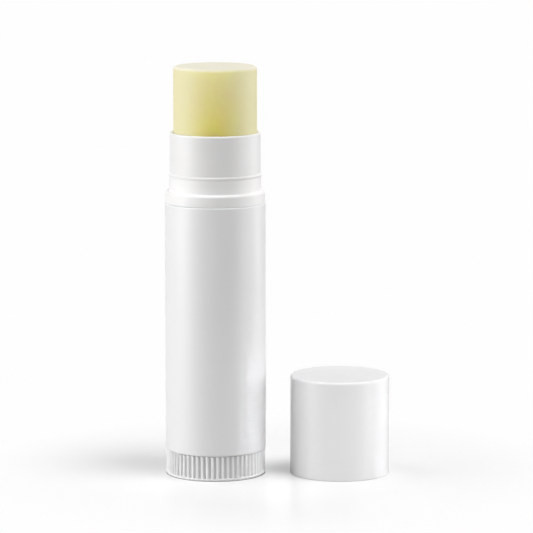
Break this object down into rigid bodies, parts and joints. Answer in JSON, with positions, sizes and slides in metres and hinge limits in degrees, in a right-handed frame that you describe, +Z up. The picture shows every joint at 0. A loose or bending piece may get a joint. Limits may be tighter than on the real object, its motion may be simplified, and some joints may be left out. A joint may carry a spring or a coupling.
{
  "type": "lip balm stick",
  "caption": "Twist-up lip balm stick stored open: smooth tube, stepped neck, raised balm on a screw carrier turned by a ribbed dial, and a plain pull-off cap standing beside it.",
  "frame": {"origin": "centre of the dial's underside, on the surface that the stick stands on", "axes": "+Z up along the stick from the dial to the balm; +X from the stick towards the cap standing beside it; +Y to the back"},
  "size_m": [0.0381, 0.017, 0.0695],
  "materials": {
    "shell_white": "satin gloss white moulding",
    "neck_white": "satin white moulding",
    "dial_white": "satin white moulding with ribs",
    "spindle_natural": "natural moulding",
    "carrier_natural": "natural moulding",
    "balm_wax": "pale yellow translucent wax",
    "cap_white": "glossy white moulding"
  },
  "bodies": {
    "tube": {"body_shell": "shell_white", "neck_sleeve": "neck_white"},
    "knob": {"dial": "dial_white", "spindle": "spindle_natural"},
    "carriage": {"elevator": "carrier_natural", "balm": "balm_wax"},
    "cap": {"cap": "cap_white"}
  },
  "joints": [
    {"name": "knob_turn", "type": "hinge", "parent": "tube", "child": "knob", "pos_m": [0, 0, 0], "axis": [0, 0, 1], "range_deg": [-1080, 2160]},
    {"name": "balm_rise", "type": "slide", "parent": "tube", "child": "carriage", "axis": [0, 0, 1], "range_m": [-0.012, 0.024]},
    {"name": "cap_lift", "type": "slide", "parent": "tube", "child": "cap", "axis": [0, 0, 1], "range_m": [0, 0.075]}
  ],
  "couplings": [
    {"joint": "knob_turn", "follows": "balm_rise", "rad_per_m": 1570.8}
  ]
}
